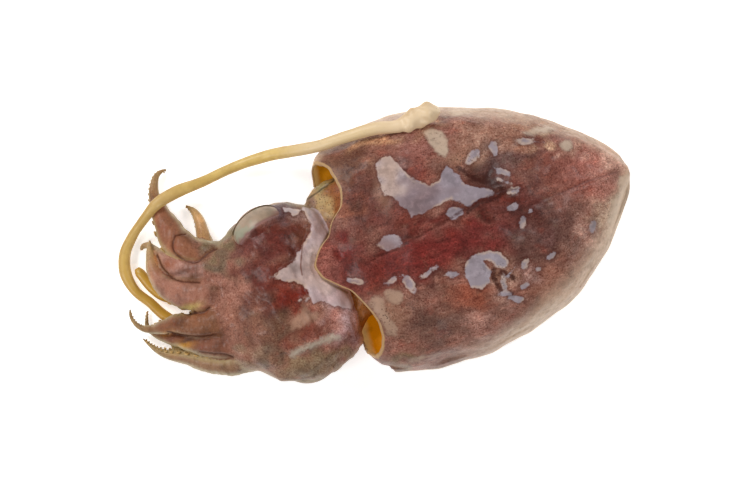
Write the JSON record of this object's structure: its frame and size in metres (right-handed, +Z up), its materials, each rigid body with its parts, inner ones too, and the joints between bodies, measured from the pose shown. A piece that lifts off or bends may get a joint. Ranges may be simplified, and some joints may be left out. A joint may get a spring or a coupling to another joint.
{
  "type": "preserved cuttlefish specimen",
  "caption": "Small cuttlefish lying on its belly with its back up, arms bunched to one side and a feeding tentacle drawn out along the body.",
  "frame": {"origin": "on the floor under the middle of the whole animal's box", "axes": "+X from the arms to the tail, +Y to the animal's own right side, +Z up through its back"},
  "size_m": [0.0712, 0.0384, 0.0128],
  "materials": {
    "mantle": "wet skin, mauve-brown with lavender-white and beige patches",
    "fin": "thin wet skin, olive-tan with a pale edge",
    "head": "wet skin, mauve-brown with a white collar band",
    "neck": "wet amber-olive flesh with fine dark specks",
    "arm": "wet skin, pinkish tan, paler on the sucker side",
    "tentacle": "smooth wet flesh, cream to amber",
    "eye": "milky wet eyeball",
    "mouth": "pale wet flesh in folds"
  },
  "bodies": {
    "root": {"mantle": "mantle", "fin_left": "fin", "fin_right": "fin", "head": "head", "eye_left": "eye", "eye_right": "eye", "neck": "neck", "funnel": "neck", "mouth": "mouth", "arm_left_1": "arm", "arm_left_2": "arm", "arm_left_3": "arm", "arm_left_4": "arm", "arm_right_1": "arm", "arm_right_2": "arm", "arm_right_3": "arm", "arm_right_4": "arm", "tentacle_left_root": "tentacle", "tentacle_left_bend": "tentacle", "tentacle_left_rise": "tentacle", "tentacle_left_reach": "tentacle", "tentacle_left_shoulder": "tentacle", "tentacle_left_club": "tentacle", "tentacle_right_stalk": "tentacle", "tentacle_right_club": "tentacle"}
  },
  "joints": []
}
